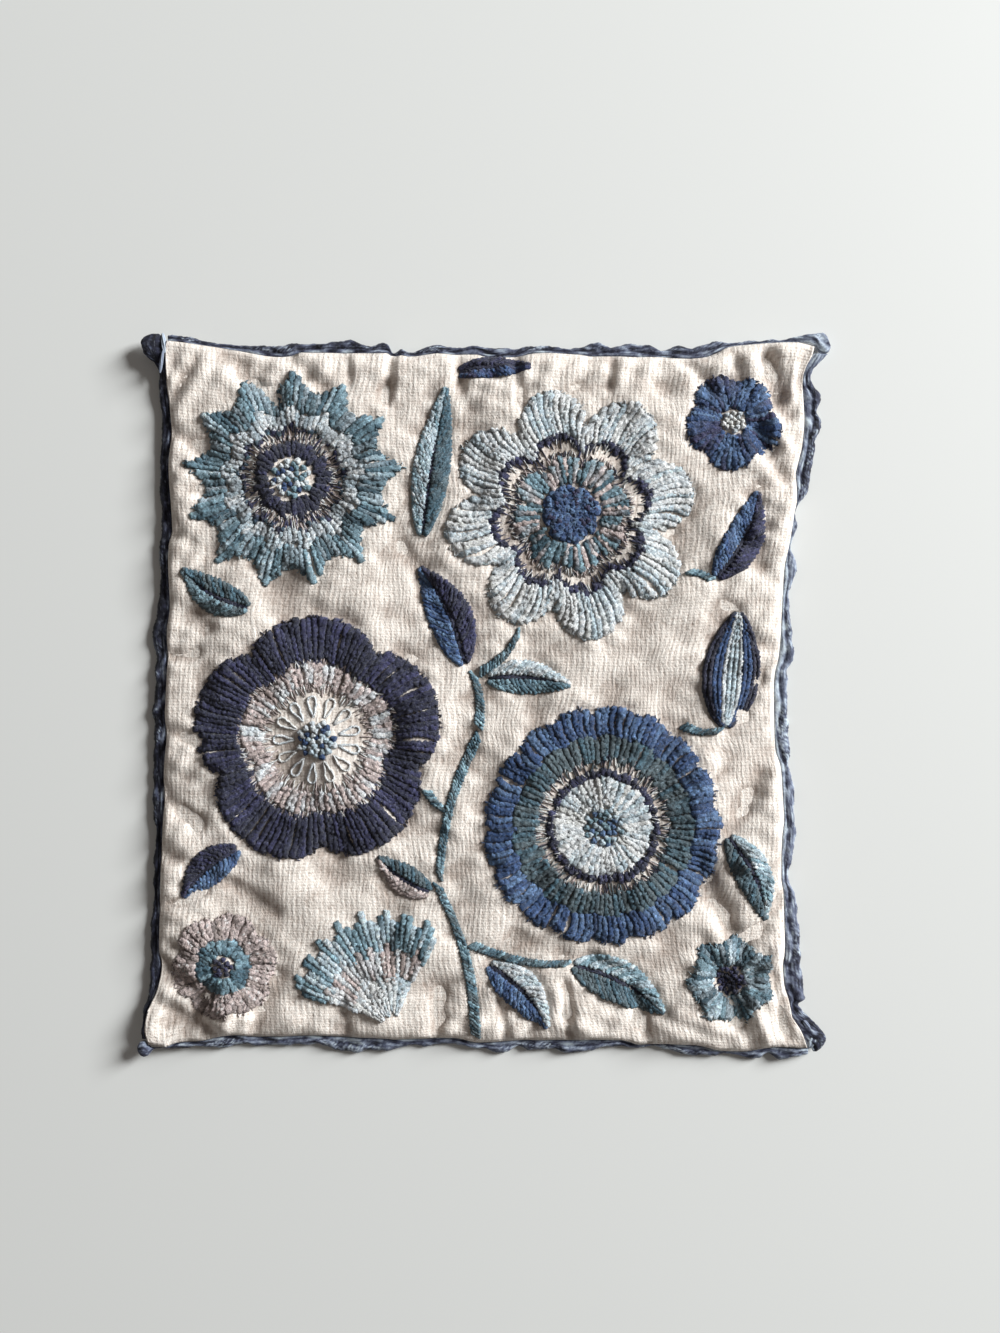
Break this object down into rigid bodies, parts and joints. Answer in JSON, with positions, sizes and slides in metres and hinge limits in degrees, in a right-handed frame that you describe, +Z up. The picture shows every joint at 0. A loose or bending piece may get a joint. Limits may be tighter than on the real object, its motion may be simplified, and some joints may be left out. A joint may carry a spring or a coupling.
{
  "type": "embroidered cushion cover",
  "caption": "Empty square cushion cover lying flat: cream ribbed cloth with raised blue wool flowers and leaves, edged with crinkled navy strips.",
  "frame": {"origin": "bottom centre of the bounding box, on the table under the back panel", "axes": "+Z up out of the embroidered front, +Y towards the top edge as it hangs on a cushion, +X to the right seen from the front"},
  "size_m": [0.4967, 0.5216, 0.0164],
  "materials": {
    "front_cloth": "matt",
    "back_cloth": "matt",
    "edging_cloth": "matt"
  },
  "bodies": {
    "root": {"front_panel": "front_cloth", "back_panel": "back_cloth", "edging_top": "edging_cloth", "edging_right": "edging_cloth", "edging_bottom": "edging_cloth", "edging_left": "edging_cloth"}
  },
  "joints": []
}
